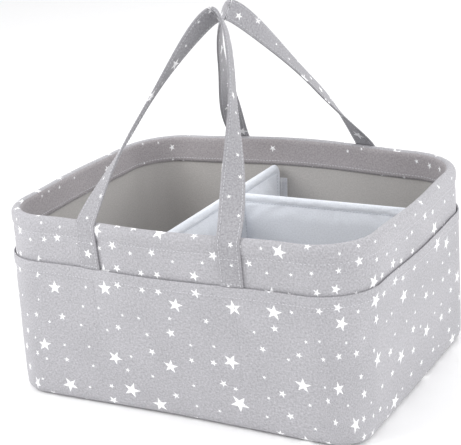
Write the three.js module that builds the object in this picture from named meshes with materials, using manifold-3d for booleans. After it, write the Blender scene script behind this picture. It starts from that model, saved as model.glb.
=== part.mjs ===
// A fabric caddy for nappies and baby care: padded walls, a wrap of outside pockets, two strap handles that
// lean together over the middle, and a removable padded divider that makes three compartments.
// Millimetres, +Z up. The origin is the middle of the underside. The front long wall faces -Y.
import * as THREE from "three";
import Module from "manifold-3d";
import { mergeVertices } from "three/addons/utils/BufferGeometryUtils.js";

const wasm = await Module();
wasm.setup();

// Outside size at the rim
const length = 380;
const width = 294;
const height = 187;

// Shape of the soft walls: they draw in towards the base, and bow out most along the rim
const wallLean = 6;
const rimCorner = 59;
const baseCorner = 28;
const longBowRim = 11;
const longBowBase = -3;
const shortBowRim = 3.5;
const shortBowBase = 0.5;
const rimCrown = 4;
const smallestCorner = 2;

// Layers of a wall, from the outside in
const canvas = 1.2;
const padding = 5.5;
const lining = 0.8;
const seat = 0.3;
const shellInner = canvas;
const paddingOuter = shellInner + seat;
const paddingInner = paddingOuter + padding;
const liningOuter = paddingInner + seat;
const liningInner = liningOuter + lining;
const hemOuter = liningInner + seat;
const hemInner = hemOuter + canvas;
const crest = hemInner / 2;
const crestFrom = height - crest;
const rimHem = 28;
const liningTuck = 8;
const paddingTop = 6;
const paddingJoint = 0.4;

// Wrap of outside pockets, with a doubled hem along its mouth and a round foot under the walls
const rimBand = 44;
const pocketTop = height - rimBand;
const pocketHem = 12;
const hemDouble = 0.8;
const footRadius = 11;
const wrapOuter = seat + canvas;

// Base layers
const baseCanvas = 1.5;
const baseBoard = 2.5;
const floorLining = 1;
const boardMargin = 1.5;

// Strap handles
const strapWidth = 22.5;
const strapThick = 2.2;
const strapCentre = 74;
const stitchedLength = 25;
const archLean = THREE.MathUtils.degToRad(40);
const archRise = 217;
const archLegPull = 40;
const archLegDraw = 2;
const archTopPull = 22;
const peakTwist = THREE.MathUtils.degToRad(98);
const steadyTurnShare = 0.6;
const heldTurnShare = 0.55;
const holdFromShare = 0.42;
const holdToShare = 0.45;
const lastTurnShare = 0.9;

// Divider insert: a cross panel, and a long panel sewn to it
const dividerThick = 11;
const dividerDrop = 22;
const dividerTop = height - dividerDrop;
const dividerCorner = 10;
const dividerCover = 1;
const bindingThick = 1.2;
const crossX = -26;
const longY = 38;
const hingeGap = 2.6;
const hingeTapeThick = 1.2;

// Touch fastener: loop tape on the lining, hook tape on the panel ends
const tapeThick = 1;
const loopTapeWidth = 20;
const hookTapeWidth = 9;
const tapeFrom = 30;
const tapeDrop = 17;
const tapeTo = dividerTop - tapeDrop;
const loopFace = liningInner + seat + tapeThick;
const hookFace = loopFace + seat;
const panelEnd = hookFace + tapeThick + seat;

// Steps round the outline and along the straps
const longSteps = 16;
const shortSteps = 8;
const wallRowShares = [0.25, 0.45, 0.65, 0.83];
const cornerSteps = 6;
const footSteps = 4;
const crestSteps = 6;
const patchSteps = 3;
const bendSteps = 4;
const archSteps = 32;

const quarterTurn = Math.PI / 2;
const cutOverrun = 5;

const canvasMaterial = new THREE.MeshStandardMaterial({ color: 0xb9b9bf, roughness: 0.95, metalness: 0 });
const liningMaterial = new THREE.MeshStandardMaterial({ color: 0xe4e7ec, roughness: 0.95, metalness: 0 });
const foamMaterial = new THREE.MeshStandardMaterial({ color: 0xf1f1ee, roughness: 1, metalness: 0 });
const boardMaterial = new THREE.MeshStandardMaterial({ color: 0xcfc9bd, roughness: 0.9, metalness: 0 });
const tapeMaterial = new THREE.MeshStandardMaterial({ color: 0xdadde3, roughness: 0.98, metalness: 0 });

const { lerp } = THREE.MathUtils;

// How far a wall bows out at a share of the way along it
function bulge(share) {
  return Math.sin(Math.PI * share) ** 2;
}

// The caddy's plan at a height: half sizes, corner radius and bows, for a loop set in by inset
function plan(inset, z) {
  const up = z / height;
  const lean = wallLean * (1 - up);
  return {
    halfLength: length / 2 - lean - inset,
    halfWidth: width / 2 - lean - inset,
    corner: Math.max(lerp(baseCorner, rimCorner, up) - inset, smallestCorner),
    longBow: lerp(longBowBase, longBowRim, up),
    shortBow: lerp(shortBowBase, shortBowRim, up),
  };
}

// The rim stands a little higher in the middle of the long walls than at the corners
function crownRatio(x) {
  return 1 + (rimCrown / height) * (1 - (x / (length / 2)) ** 2);
}

// Distance of the front wall's face from the middle, at a place along it and a height over the ground
function longFace(x, z, inset) {
  const { halfLength, halfWidth, corner, longBow } = plan(inset, z / crownRatio(x));
  const straight = halfLength - corner;
  return halfWidth + longBow * bulge((x + straight) / (2 * straight));
}

// The same for the short walls
function shortFace(y, z, inset) {
  const { halfLength, halfWidth, corner, shortBow } = plan(inset, z);
  const straight = halfWidth - corner;
  return halfLength + shortBow * bulge((y + straight) / (2 * straight));
}

// One closed loop round the caddy, anticlockwise from the front wall's left end
function outline(inset, z) {
  const { halfLength, halfWidth, corner, longBow, shortBow } = plan(inset, z);
  const sides = [
    { half: halfLength - corner, out: halfWidth, bow: longBow, steps: longSteps },
    { half: halfWidth - corner, out: halfLength, bow: shortBow, steps: shortSteps },
  ];
  const points = [];
  for (let side = 0; side < 4; side++) {
    const { half, out, bow, steps } = sides[side % 2];
    const turn = side * quarterTurn;
    const along = new THREE.Vector2(Math.cos(turn), Math.sin(turn));
    const outward = new THREE.Vector2(Math.sin(turn), -Math.cos(turn));
    for (let i = 0; i < steps; i++) {
      const share = i / steps;
      const p = along.clone().multiplyScalar(lerp(-half, half, share));
      points.push(p.addScaledVector(outward, out + bow * bulge(share)));
    }
    const centre = along.clone().multiplyScalar(half).addScaledVector(outward, out - corner);
    for (let i = 0; i < cornerSteps; i++) {
      const angle = (quarterTurn * i) / cornerSteps;
      const p = centre.clone().addScaledVector(outward, corner * Math.cos(angle));
      points.push(p.addScaledVector(along, corner * Math.sin(angle)));
    }
  }
  return points.map((p) => new THREE.Vector3(p.x, p.y, z * crownRatio(p.x)));
}

// Section points up a wall, with the rows that all layers share, so that their facets stay parallel
function upWall(inset, from, to) {
  const rows = wallRowShares.map((share) => share * height).filter((z) => z > from && z < to);
  return [from, ...rows, to].map((z) => [inset, z]);
}

function downWall(inset, from, to) {
  return upWall(inset, to, from).reverse();
}

// A closed solid skinned over loops of equal count. Without caps the last loop joins the first. Faces are
// split from their lower start to their upper end, or the other way in the columns named in otherWay.
function skin(loops, capped, otherWay = []) {
  const count = loops[0].length;
  const positions = loops.flat();
  const faces = [];
  const spans = capped ? loops.length - 1 : loops.length;
  for (let i = 0; i < spans; i++) {
    const here = i * count;
    const next = ((i + 1) % loops.length) * count;
    for (let j = 0; j < count; j++) {
      const k = (j + 1) % count;
      const rising = positions[next + j].z >= positions[here + j].z;
      if (rising !== otherWay.includes(j)) {
        faces.push([here + j, here + k, next + k], [here + j, next + k, next + j]);
      } else {
        faces.push([here + j, here + k, next + j], [here + k, next + k, next + j]);
      }
    }
  }
  if (capped) {
    for (const [first, flip] of [[0, true], [(loops.length - 1) * count, false]]) {
      const middle = new THREE.Vector3();
      for (let j = 0; j < count; j++) middle.add(positions[first + j]);
      const centre = positions.push(middle.divideScalar(count)) - 1;
      for (let j = 0; j < count; j++) {
        const edge = [first + j, first + ((j + 1) % count)];
        faces.push(flip ? [centre, edge[1], edge[0]] : [centre, edge[0], edge[1]]);
      }
    }
  }
  let volume = 0;
  for (const [a, b, c] of faces) volume += positions[a].dot(positions[b].clone().cross(positions[c]));
  const outwardFaces = volume < 0 ? faces.map(([a, b, c]) => [a, c, b]) : faces;
  const geometry = new THREE.BufferGeometry().setFromPoints(positions);
  geometry.setIndex(outwardFaces.flat());
  geometry.computeVertexNormals();
  return geometry;
}

// Booleans
function solidOf(geometry) {
  const bare = geometry.clone();
  bare.deleteAttribute("normal");
  bare.deleteAttribute("uv");
  const merged = mergeVertices(bare);
  const mesh = new wasm.Mesh({
    numProp: 3,
    vertProperties: merged.attributes.position.array,
    triVerts: new Uint32Array(merged.index.array),
  });
  return new wasm.Manifold(mesh);
}

function geometryOf(solid) {
  const mesh = solid.getMesh();
  const geometry = new THREE.BufferGeometry();
  geometry.setAttribute("position", new THREE.BufferAttribute(mesh.vertProperties, 3));
  geometry.setIndex(new THREE.BufferAttribute(mesh.triVerts, 1));
  geometry.computeVertexNormals();
  return geometry;
}

function piece(group, name, geometry, material) {
  const mesh = new THREE.Mesh(geometry, material);
  mesh.name = name;
  group.add(mesh);
  return mesh;
}

const caddy = new THREE.Group();

// Outer shell: canvas walls, turned over the padding at the rim into an inside hem
function outerShell() {
  const foot = footRadius + 2 * seat + canvas;
  const crestInner = crest - canvas;
  const section = upWall(0, foot, crestFrom);
  for (let i = 1; i <= crestSteps; i++) {
    const angle = (Math.PI * i) / crestSteps;
    section.push([crest - crest * Math.cos(angle), crestFrom + crest * Math.sin(angle)]);
  }
  section.push([hemInner, height - rimHem], [hemOuter, height - rimHem]);
  for (let i = crestSteps; i > 0; i--) {
    const angle = (Math.PI * i) / crestSteps;
    const z = crestFrom + crestInner * Math.sin(angle);
    section.push([crest - crestInner * Math.cos(angle), z]);
  }
  section.push(...downWall(shellInner, crestFrom, foot));
  return skin(section.map(([inset, z]) => outline(inset, z)), false);
}
piece(caddy, "outer_shell", outerShell(), canvasMaterial);

// Pocket wrap: one band of canvas round all four walls, open along its top hem
function pocketWrap() {
  const section = [];
  const centre = footRadius - wrapOuter;
  const footZ = footRadius + seat;
  const arc = (radius, i) => {
    const angle = (quarterTurn * i) / footSteps;
    return [centre - radius * Math.cos(angle), footZ - radius * Math.sin(angle)];
  };
  for (let i = footSteps; i > 0; i--) section.push(arc(footRadius, i));
  section.push(...upWall(-wrapOuter, footZ, pocketTop - pocketHem));
  section.push([-wrapOuter - hemDouble, pocketTop - pocketHem + hemDouble]);
  section.push([-wrapOuter - hemDouble, pocketTop]);
  section.push(...downWall(-seat, pocketTop, footZ));
  for (let i = 1; i <= footSteps; i++) section.push(arc(footRadius - canvas, i));
  return skin(section.map(([inset, z]) => outline(inset, z)), false);
}
piece(caddy, "pocket_wrap", pocketWrap(), canvasMaterial);

// A flat layer of the base, as stacked outlines
function layer(inset, from, to) {
  const flat = (z) => outline(inset, 0).map((p) => new THREE.Vector3(p.x, p.y, z));
  return skin([flat(from), flat(to)], true);
}
const boardFrom = baseCanvas + seat;
const floorFrom = boardFrom + baseBoard + seat;
const floorTop = floorFrom + floorLining;
piece(caddy, "base_panel", layer(footRadius - wrapOuter + seat, 0, baseCanvas), canvasMaterial);
piece(caddy, "base_board", layer(footRadius - boardMargin, boardFrom, boardFrom + baseBoard), boardMaterial);
piece(caddy, "floor_lining", layer(liningInner + seat, floorFrom, floorTop), liningMaterial);

// Wall lining: its top edge is tucked behind the rim hem
function wallLining() {
  const top = height - rimHem + liningTuck;
  const section = [...upWall(liningOuter, floorFrom, top), ...downWall(liningInner, top, floorFrom)];
  return skin(section.map(([inset, z]) => outline(inset, z)), false);
}
piece(caddy, "wall_lining", wallLining(), liningMaterial);

// Wall padding: four foam panels that meet in the middle of the corners
function wallPadding(side) {
  const foot = floorTop + seat + lining + canvas;
  const top = height - paddingTop;
  const section = [...upWall(paddingOuter, foot, top), ...downWall(paddingInner, top, foot)];
  const rings = section.map(([inset, z]) => outline(inset, z));
  const count = rings[0].length;
  const quarter = longSteps + shortSteps + 2 * cornerSteps;
  const begin = Math.floor(side / 2) * quarter + (side % 2) * (longSteps + cornerSteps) - cornerSteps / 2;
  const steps = (side % 2 ? shortSteps : longSteps) + cornerSteps;
  const loops = [];
  for (let i = 0; i <= steps; i++) {
    const here = (begin + i + count) % count;
    const inward = i === 0 ? 1 : i === steps ? -1 : 0;
    const next = (here + inward + count) % count;
    loops.push(rings.map((ring) => {
      const back = inward ? paddingJoint / ring[here].distanceTo(ring[next]) : 0;
      return ring[here].clone().lerp(ring[next], back);
    }));
  }
  return skin(loops, true);
}
["front", "right", "back", "left"].forEach((side, i) => {
  piece(caddy, `${side}_padding`, wallPadding(i), foamMaterial);
});

// A flat piece along a wall: the wall's face gives its distance, and place puts a point on its side
function wallPatch(face, centre, half, near, far, from, to, place) {
  const rows = [from, ...wallRowShares.map((share) => share * height).filter((z) => z > from && z < to), to];
  const steps = Array.from({ length: patchSteps + 1 }, (_, i) => centre + lerp(-half, half, i / patchSteps));
  return skin(rows.map((z) => [
    ...steps.map((along) => place(along, face(along, z, near), z)),
    ...steps.toReversed().map((along) => place(along, face(along, z, far), z)),
  ]), true);
}
const onFront = (x, out, z) => new THREE.Vector3(x, -out, z);
const onBack = (x, out, z) => new THREE.Vector3(x, out, z);
const onRight = (y, out, z) => new THREE.Vector3(out, y, z);

// Strap handle: each leg runs up the wall and over the rim, then turns about a quarter turn into a pointed
// arch. The right leg turns steadily. The left leg turns about half way, holds that for a while, and makes
// the rest of its turn near the peak.
const { smoothstep } = THREE.MathUtils;
const steadyTurn = (share) => smoothstep(share, 0, steadyTurnShare);
const heldTurn = (share) => lerp(
  smoothstep(share, 0, holdFromShare) * heldTurnShare, 1, smoothstep(share, holdToShare, lastTurnShare),
);
const outX = [strapCentre - strapWidth / 2, strapCentre + strapWidth / 2];
const stitchedFrom = pocketTop * crownRatio(outX[0]) + seat;
const stitchedTop = stitchedFrom + stitchedLength;
const hingeZ = stitchedTop + seat / 2;
const hingeY = -Math.max(...outX.map((x) => longFace(x, stitchedTop, -seat - strapThick)));

// Four corners of the strap on the wall, or over the round of the rim, seen along the strap
function strapOverWall(heightAt, bend) {
  return [[1, strapThick], [0, strapThick], [0, 0], [1, 0]].map(([edge, out]) => {
    const x = outX[edge];
    const z = heightAt(x);
    const radius = crest + seat + out;
    const wall = longFace(x, z, crest) + radius * Math.cos(bend);
    return new THREE.Vector3(x, -wall, z + radius * Math.sin(bend));
  });
}

function strapLeg(turnAt) {
  const half = [strapOverWall(() => stitchedTop + seat, 0)];
  const crestAt = (x) => crestFrom * crownRatio(x);
  for (let i = 0; i <= bendSteps; i++) half.push(strapOverWall(crestAt, (archLean * i) / bendSteps));
  const archFoot = new THREE.Vector3();
  for (const corner of half.at(-1)) archFoot.addScaledVector(corner, 1 / half[0].length);
  const upArch = new THREE.Vector3(0, Math.sin(archLean), Math.cos(archLean));
  const planeOut = new THREE.Vector3(0, -Math.cos(archLean), Math.sin(archLean));
  const inPlane = (x, v) => archFoot.clone().setX(x).addScaledVector(upArch, v);
  const legPull = inPlane(strapCentre - archLegDraw, archLegPull);
  const topPull = inPlane(archTopPull, archRise);
  const arch = new THREE.CubicBezierCurve3(archFoot, legPull, topPull, inPlane(0, archRise));
  const wallYaw = Math.atan((half[0][0].y - half[0][1].y) / strapWidth);
  for (let i = 1; i <= archSteps; i++) {
    const share = i / archSteps;
    const at = arch.getPoint(share);
    const along = arch.getTangent(share);
    const twist = lerp(wallYaw, peakTwist, turnAt(share));
    const edge = along.clone().cross(planeOut);
    const normal = planeOut.clone().multiplyScalar(Math.cos(twist)).addScaledVector(edge, Math.sin(twist));
    const across = along.clone().cross(normal).normalize();
    half.push([[1, 1], [-1, 1], [-1, -1], [1, -1]].map(([side, out]) => at.clone()
      .addScaledVector(across, (side * strapWidth) / 2)
      .addScaledVector(normal, (out * strapThick) / 2)));
  }
  return half;
}

// A strap's loop goes over its outer side, an edge, its inner side and the other edge. The inner side is
// split the other way, so that it stays parallel to the outer side where the strap twists.
const strapInnerSide = 2;

function strapLoop() {
  const left = strapLeg(heldTurn).slice(0, -1).reverse();
  const right = strapLeg(steadyTurn);
  const mirrored = left.map((loop) => loop.map((p) => p.clone().setX(-p.x)));
  return skin([...right, ...mirrored], true, [strapInnerSide]);
}

for (const [side, turn] of [["front", 0], ["back", Math.PI]]) {
  const wall = new THREE.Group();
  wall.rotation.z = turn;
  for (const [hand, sign] of [["left", -1], ["right", 1]]) {
    const name = `${side}_${hand}_strap_end`;
    const near = -seat;
    const far = near - strapThick;
    const x = sign * strapCentre;
    const end = wallPatch(longFace, x, strapWidth / 2, near, far, stitchedFrom, stitchedTop, onFront);
    piece(wall, name, end, canvasMaterial);
  }
  piece(wall, `${side}_handle_strap`, strapLoop(), canvasMaterial);
  caddy.add(wall);
}

// A divider panel's outline: foot, slanted ends that follow the walls, and round top corners
function panelShape(left, right, from, inward) {
  const top = dividerTop - inward;
  const round = dividerCorner - inward;
  const shape = new THREE.Shape();
  shape.moveTo(left(from) + inward, from);
  shape.lineTo(right(from) - inward, from);
  shape.lineTo(right(top - round) - inward, top - round);
  shape.quadraticCurveTo(right(top) - inward, top, right(top) - inward - round, top);
  shape.lineTo(left(top) + inward + round, top);
  shape.quadraticCurveTo(left(top) + inward, top, left(top - round) + inward, top - round);
  shape.closePath();
  return shape;
}

function panel(left, right, from, inward, thick) {
  const shape = panelShape(left, right, from, inward);
  const options = { depth: thick, bevelEnabled: false, curveSegments: cornerSteps };
  return new THREE.ExtrudeGeometry(shape, options).translate(0, 0, -thick / 2);
}

// Cover, board and binding of one panel; the cover is a sleeve that the binding closes
function addPanel(group, name, left, right, turn) {
  const bindingFrom = floorTop + seat;
  const coverFrom = bindingFrom + bindingThick + seat;
  const boardInset = dividerCover + seat;
  const cavity = panel(left, right, coverFrom - cutOverrun, dividerCover, dividerThick - 2 * dividerCover);
  const cover = solidOf(panel(left, right, coverFrom, 0, dividerThick)).subtract(solidOf(cavity));
  const board = panel(left, right, coverFrom + seat, boardInset, dividerThick - 2 * boardInset);
  const bindingShape = new THREE.Shape();
  bindingShape.moveTo(left(bindingFrom), bindingFrom);
  bindingShape.lineTo(right(bindingFrom), bindingFrom);
  bindingShape.lineTo(right(bindingFrom), bindingFrom + bindingThick);
  bindingShape.lineTo(left(bindingFrom), bindingFrom + bindingThick);
  const binding = new THREE.ExtrudeGeometry(bindingShape, { depth: dividerThick, bevelEnabled: false });
  binding.translate(0, 0, -dividerThick / 2);
  piece(group, `${name}_cover`, geometryOf(cover).applyMatrix4(turn), liningMaterial);
  piece(group, `${name}_board`, board.applyMatrix4(turn), foamMaterial);
  piece(group, `${name}_binding`, binding.applyMatrix4(turn), liningMaterial);
}

const axisX = new THREE.Vector3(1, 0, 0);
const axisY = new THREE.Vector3(0, 1, 0);
const axisZ = new THREE.Vector3(0, 0, 1);
const acrossCaddy = new THREE.Matrix4().makeBasis(axisY, axisZ, axisX);
const alongCaddy = new THREE.Matrix4().makeBasis(axisX, axisZ, axisY.clone().negate());

// An upright tape between two faces that both follow a wall; face(z) gives each face's distance
function uprightTape(nearFace, farFace, half, from, to, place) {
  const level = (z) => [[nearFace(z), -half], [farFace(z), -half], [farFace(z), half], [nearFace(z), half]]
    .map(([out, across]) => place(out, across, z));
  return skin([level(from), level(to)], true);
}

const insert = new THREE.Group();
insert.position.x = crossX;
const crossHalf = (z) => longFace(crossX, z, panelEnd);
addPanel(insert, "cross_divider", (z) => -crossHalf(z), crossHalf, acrossCaddy);

for (const [side, sign, place] of [["front", -1, onFront], ["back", 1, onBack]]) {
  const onWall = (inset) => (z) => longFace(crossX, z, inset);
  const hook = uprightTape(onWall(hookFace), onWall(panelEnd - seat), hookTapeWidth / 2, tapeFrom, tapeTo,
    (out, across, z) => new THREE.Vector3(across, sign * out, z));
  piece(insert, `${side}_hook_tape`, hook, tapeMaterial);
  const near = liningInner + seat;
  const loop = wallPatch(longFace, crossX, loopTapeWidth / 2, near, loopFace, tapeFrom, tapeTo, place);
  piece(caddy, `${side}_loop_tape`, loop, tapeMaterial);
}

// The long panel hangs on a sewn tape, and its far end holds on the right wall
const hingeX = dividerThick / 2 + hingeGap;
const tapeSeat = { near: dividerThick / 2 + seat, far: hingeX - seat };
const hingeTape = uprightTape(() => tapeSeat.near, () => tapeSeat.far, hingeTapeThick / 2, tapeFrom, tapeTo,
  (out, across, z) => new THREE.Vector3(out, longY + across, z));
piece(insert, "divider_hinge_tape", hingeTape, liningMaterial);

const longPanel = new THREE.Group();
longPanel.position.set(hingeX, longY, 0);
const fromHinge = (inset) => (z) => shortFace(longY, z, inset) - crossX - hingeX;
addPanel(longPanel, "long_divider", () => 0, fromHinge(panelEnd), alongCaddy);
const hookEnds = [fromHinge(hookFace), fromHinge(panelEnd - seat)];
const rightHook = uprightTape(...hookEnds, hookTapeWidth / 2, tapeFrom, tapeTo,
  (out, across, z) => new THREE.Vector3(out, across, z));
piece(longPanel, "right_hook_tape", rightHook, tapeMaterial);
const loopAt = [longY, loopTapeWidth / 2, liningInner + seat, loopFace];
const rightLoop = wallPatch(shortFace, ...loopAt, tapeFrom, tapeTo, onRight);
piece(caddy, "right_loop_tape", rightLoop, tapeMaterial);
insert.add(longPanel);
caddy.add(insert);

console.log("handle hinge at", [0, hingeY, hingeZ], "long panel hinge at", [crossX + hingeX, longY]);

export default caddy;
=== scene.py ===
# %% [markdown]
# A fabric caddy, dressed in Blender.
# The imported model gives the frame: sizes, places and bodies that move. This lesson builds the cloth over it,
# one piece at a time. Each piece but the straps and the strip at the fold rides on the body that carries it on
# the real thing.

import math
from functools import partial

import bpy
import numpy as np
from mathutils import Matrix, Vector, noise


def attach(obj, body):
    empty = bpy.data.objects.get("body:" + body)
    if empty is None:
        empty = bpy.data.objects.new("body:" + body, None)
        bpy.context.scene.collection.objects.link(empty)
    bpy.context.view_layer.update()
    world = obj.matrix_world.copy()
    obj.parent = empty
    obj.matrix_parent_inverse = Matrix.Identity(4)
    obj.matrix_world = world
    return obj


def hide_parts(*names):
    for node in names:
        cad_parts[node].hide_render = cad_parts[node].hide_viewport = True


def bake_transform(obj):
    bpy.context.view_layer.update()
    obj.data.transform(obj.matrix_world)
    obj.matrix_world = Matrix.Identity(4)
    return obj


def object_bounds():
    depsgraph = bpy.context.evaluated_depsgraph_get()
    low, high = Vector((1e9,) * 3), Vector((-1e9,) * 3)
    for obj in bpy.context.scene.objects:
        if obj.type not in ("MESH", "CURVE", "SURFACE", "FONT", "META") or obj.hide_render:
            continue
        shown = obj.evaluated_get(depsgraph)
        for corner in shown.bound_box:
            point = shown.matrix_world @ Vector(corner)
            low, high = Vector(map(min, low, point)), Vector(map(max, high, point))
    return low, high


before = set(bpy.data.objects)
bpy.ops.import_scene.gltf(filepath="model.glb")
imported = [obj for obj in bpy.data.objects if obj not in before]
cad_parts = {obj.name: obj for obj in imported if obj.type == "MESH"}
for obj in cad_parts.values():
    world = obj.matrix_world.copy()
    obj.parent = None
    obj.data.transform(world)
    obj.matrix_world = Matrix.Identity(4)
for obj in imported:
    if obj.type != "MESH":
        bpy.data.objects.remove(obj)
cad_low, cad_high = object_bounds()
MM = 0.001
cad_size = [round(1000 * side) for side in cad_high - cad_low]
print("CAD box in mm:", cad_size)

# %% [markdown]
# The photograph was taken from above the front right corner with a longish lens. The camera below was found
# by matching the rim, the base and the handles, so its place is a real distance from the caddy. The picture
# is cropped a little off centre, which the lens shift repeats.

# %% Camera
PHOTO_WIDTH = 461
PHOTO_HEIGHT = 445
FOCAL_PIXELS = 1351.6
CENTRE_PIXEL = (226.0, 224.1)
SENSOR = 36.0

camera_data = bpy.data.cameras.new("photo_camera")
camera_data.sensor_width = SENSOR
camera_data.lens = FOCAL_PIXELS / PHOTO_WIDTH * SENSOR
camera_data.shift_x = (PHOTO_WIDTH / 2 - CENTRE_PIXEL[0]) / PHOTO_WIDTH
camera_data.shift_y = (CENTRE_PIXEL[1] - PHOTO_HEIGHT / 2) / PHOTO_WIDTH
camera = bpy.data.objects.new("photo_camera", camera_data)
bpy.context.collection.objects.link(camera)
camera_right = Vector((0.87702, 0.47477, -0.07374))
camera_up = Vector((-0.09276, 0.31790, 0.94358))
camera_back = camera_right.cross(camera_up).normalized()
camera_turn = Matrix((camera_right, camera_up, camera_back)).transposed().to_4x4()
camera_place = Vector((617.3, -1098.0, 576.2)) * MM
camera.matrix_world = Matrix.Translation(camera_place) @ camera_turn
bpy.context.scene.camera = camera
print("lens", round(camera_data.lens, 1), "mm")

# %% [markdown]
# Soft light suits cloth: one large panel to the left of the camera for form, a weaker one from the right so
# that the end wall keeps its shade, one behind that lights the inside, and a pale sky for the rest.

# %% Light
LIT_POINT = Vector((0, 0, 0.12))


def linear(hex_colour):
    """An sRGB hex colour as the linear RGBA that the shader nodes work in."""
    shares = [int(hex_colour[i:i + 2], 16) / 255 for i in (1, 3, 5)]
    return tuple(s / 12.92 if s <= 0.04045 else ((s + 0.055) / 1.055) ** 2.4 for s in shares) + (1.0,)


def panel_light(name, place, size, watts):
    """A round panel that looks at the caddy. Its place and size are in metres."""
    data = bpy.data.lights.new(name, "AREA")
    data.shape = "DISK"
    data.size = size
    data.energy = watts
    lamp = bpy.data.objects.new(name, data)
    lamp.location = place
    lamp.rotation_mode = "QUATERNION"
    lamp.rotation_quaternion = (LIT_POINT - Vector(place)).to_track_quat("-Z", "Y")
    bpy.context.collection.objects.link(lamp)


panel_light("key_panel", (-1.1, -1.0, 1.3), 1.2, 18.5)
panel_light("fill_panel", (1.9, 0.0, 0.9), 1.4, 13.5)
panel_light("back_panel", (0.3, 1.6, 1.6), 1.4, 10)

world = bpy.data.worlds.new("pale_sky")
world.use_nodes = True
sky = world.node_tree.nodes["Background"].inputs
sky["Color"].default_value = linear("#F8F8F9")
sky["Strength"].default_value = 0.95
bpy.context.scene.world = world
bpy.context.scene.view_settings.view_transform = "Standard"
print("lights:", [light.name for light in bpy.data.lights])

# %% [markdown]
# Every material starts from a Principled shader. This one function adds any node, sets what it is given and
# links what comes from another node, so a material reads as a short list.

# %% One helper for shader nodes
def add(tree, kind, inputs=None, **settings):
    """Adds a shader node and returns its outputs. An input is a value or another node's output."""
    made = tree.nodes.new("ShaderNode" + kind)
    for name, value in settings.items():
        setattr(made, name, value)
    for key, value in (inputs or {}).items():
        if isinstance(value, bpy.types.NodeSocket):
            tree.links.new(value, made.inputs[key])
        else:
            made.inputs[key].default_value = value
    return made.outputs


def new_material(name, roughness, ior=1.5, sheen=0.0):
    """A Principled material with its plain numbers set, and its tree and shader to build on."""
    material = bpy.data.materials.new(name)
    material.use_nodes = True
    shader = material.node_tree.nodes["Principled BSDF"]
    shader.inputs["Roughness"].default_value = roughness
    shader.inputs["IOR"].default_value = ior
    shader.inputs["Sheen Weight"].default_value = sheen
    return material, material.node_tree, shader


def plain_colour(tree, hex_colour):
    """One colour as a node, so that other nodes can tint it."""
    colour = add(tree, "RGB")[0]
    colour.default_value = linear(hex_colour)
    return colour


# %% [markdown]
# Woven cloth has threads that pass over and under each other. Two crossed waves, multiplied, make that
# chequer of small lumps. Cotton canvas has about 2 threads to the millimetre, too fine to show here, so its
# threads are drawn 0.9 mm apart. Slubs are thick places in the yarn, so they are noise stretched along the
# threads, and they tint the cloth as well as raise it. The yarn is heathered, spun from light and dark fibre.
# Its flecks are drawn two threads wide, coarser than the real ones, so that they show.

# %% Weave
COTTON_IOR = 1.53
SLUB_RUN_SHARE = 0.3
HEATHER_THREADS = 1.9
UNEVEN_WAVES = 22.0
BROAD_SHARE = 0.5
SLUB_SHARE = 0.7
THREAD_RELIEF = 0.3 * MM
# Painted shade: the weave's valleys are tinted a little darker and its lumps a little lighter
VALLEY_SHADE_SHARES = (0.97, 1.02)
# Noise seldom leaves these values, so a tint spreads between them
NOISE_SPREAD = (0.3, 0.7)
UNEVEN_SPREAD = (0.85, 1.65)


def math_node(tree, operation, *values):
    """One sum of the Math node, over numbers or outputs."""
    return add(tree, "Math", dict(enumerate(values)), operation=operation)[0]


def range_node(tree, value, low, high, to_low=0.0, to_high=1.0):
    """A value that runs from low to high, moved to run from to_low to to_high, and held there outside."""
    return add(tree, "MapRange", {"Value": value, 1: low, 2: high, 3: to_low, 4: to_high})[0]


def noise_node(tree, place, waves, detail=2.0, **more):
    """Noise with so many waves to the metre."""
    return add(tree, "TexNoise", {"Vector": place, "Scale": waves, "Detail": detail, **more})[0]


def weave(tree, cloth, thread):
    """Height of a plain weave and of its slubs, from places on the cloth in metres."""
    place = add(tree, "SeparateXYZ", {0: cloth})
    waves = []
    for axis in "XY":
        turns = math_node(tree, "MULTIPLY", place[axis], math.pi / thread)
        waves.append(math_node(tree, "SINE", turns))
    lumps = math_node(tree, "ABSOLUTE", math_node(tree, "MULTIPLY", *waves))
    slubs = []
    for long_way in ((1, SLUB_RUN_SHARE, 1), (SLUB_RUN_SHARE, 1, 1)):
        stretched = add(tree, "Mapping", {"Vector": cloth, "Scale": long_way})[0]
        slubs.append(noise_node(tree, stretched, 1 / thread))
    return lumps, math_node(tree, "ADD", *slubs)


def finish_cloth(tree, shader, cloth, colour, thread, tint, depth):
    """Tints a colour with slubs, flecks, broad unevenness and painted shade in the weave's valleys, and raises
    the weave as bump.
    """
    lumps, slub = weave(tree, cloth, thread)
    broad = noise_node(tree, cloth, UNEVEN_WAVES, 3.0)
    speck = noise_node(tree, cloth, 1 / (HEATHER_THREADS * thread))
    uneven = math_node(tree, "MULTIPLY_ADD", broad, BROAD_SHARE, slub)
    value = range_node(tree, uneven, *UNEVEN_SPREAD, 1 - tint, 1 + tint)
    heather = range_node(tree, speck, *NOISE_SPREAD, 1 - tint, 1 + tint)
    # Painted shade: darker in the valleys between threads, lighter on their lumps
    valley_shade = range_node(tree, lumps, 0, 1, *VALLEY_SHADE_SHARES)
    shade = math_node(tree, "MULTIPLY", math_node(tree, "MULTIPLY", value, heather), valley_shade)
    tinted = add(tree, "VectorMath", {0: colour, 3: shade}, operation="SCALE")[0]
    tree.links.new(tinted, shader.inputs["Base Color"])
    height = math_node(tree, "MULTIPLY_ADD", slub, SLUB_SHARE, lumps)
    bump = add(tree, "Bump", {"Height": height, "Strength": depth, "Distance": THREAD_RELIEF})[0]
    tree.links.new(bump, shader.inputs["Normal"])


# %% [markdown]
# The print is scattered white five-pointed stars, small ones of mixed sizes and large ones. A Voronoi texture
# gives each cell a centre and a random colour: the centre places a star, and the colour turns it and picks
# its size. Seen from its centre, a star repeats every 72 degrees and mirrors at 36, so the angle is folded
# with ping-pong, and one straight edge then draws all ten sides. Two layers are used: wide cells for the
# large stars, and close ones for the small. A small star that falls too near a large one is left out.

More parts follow.
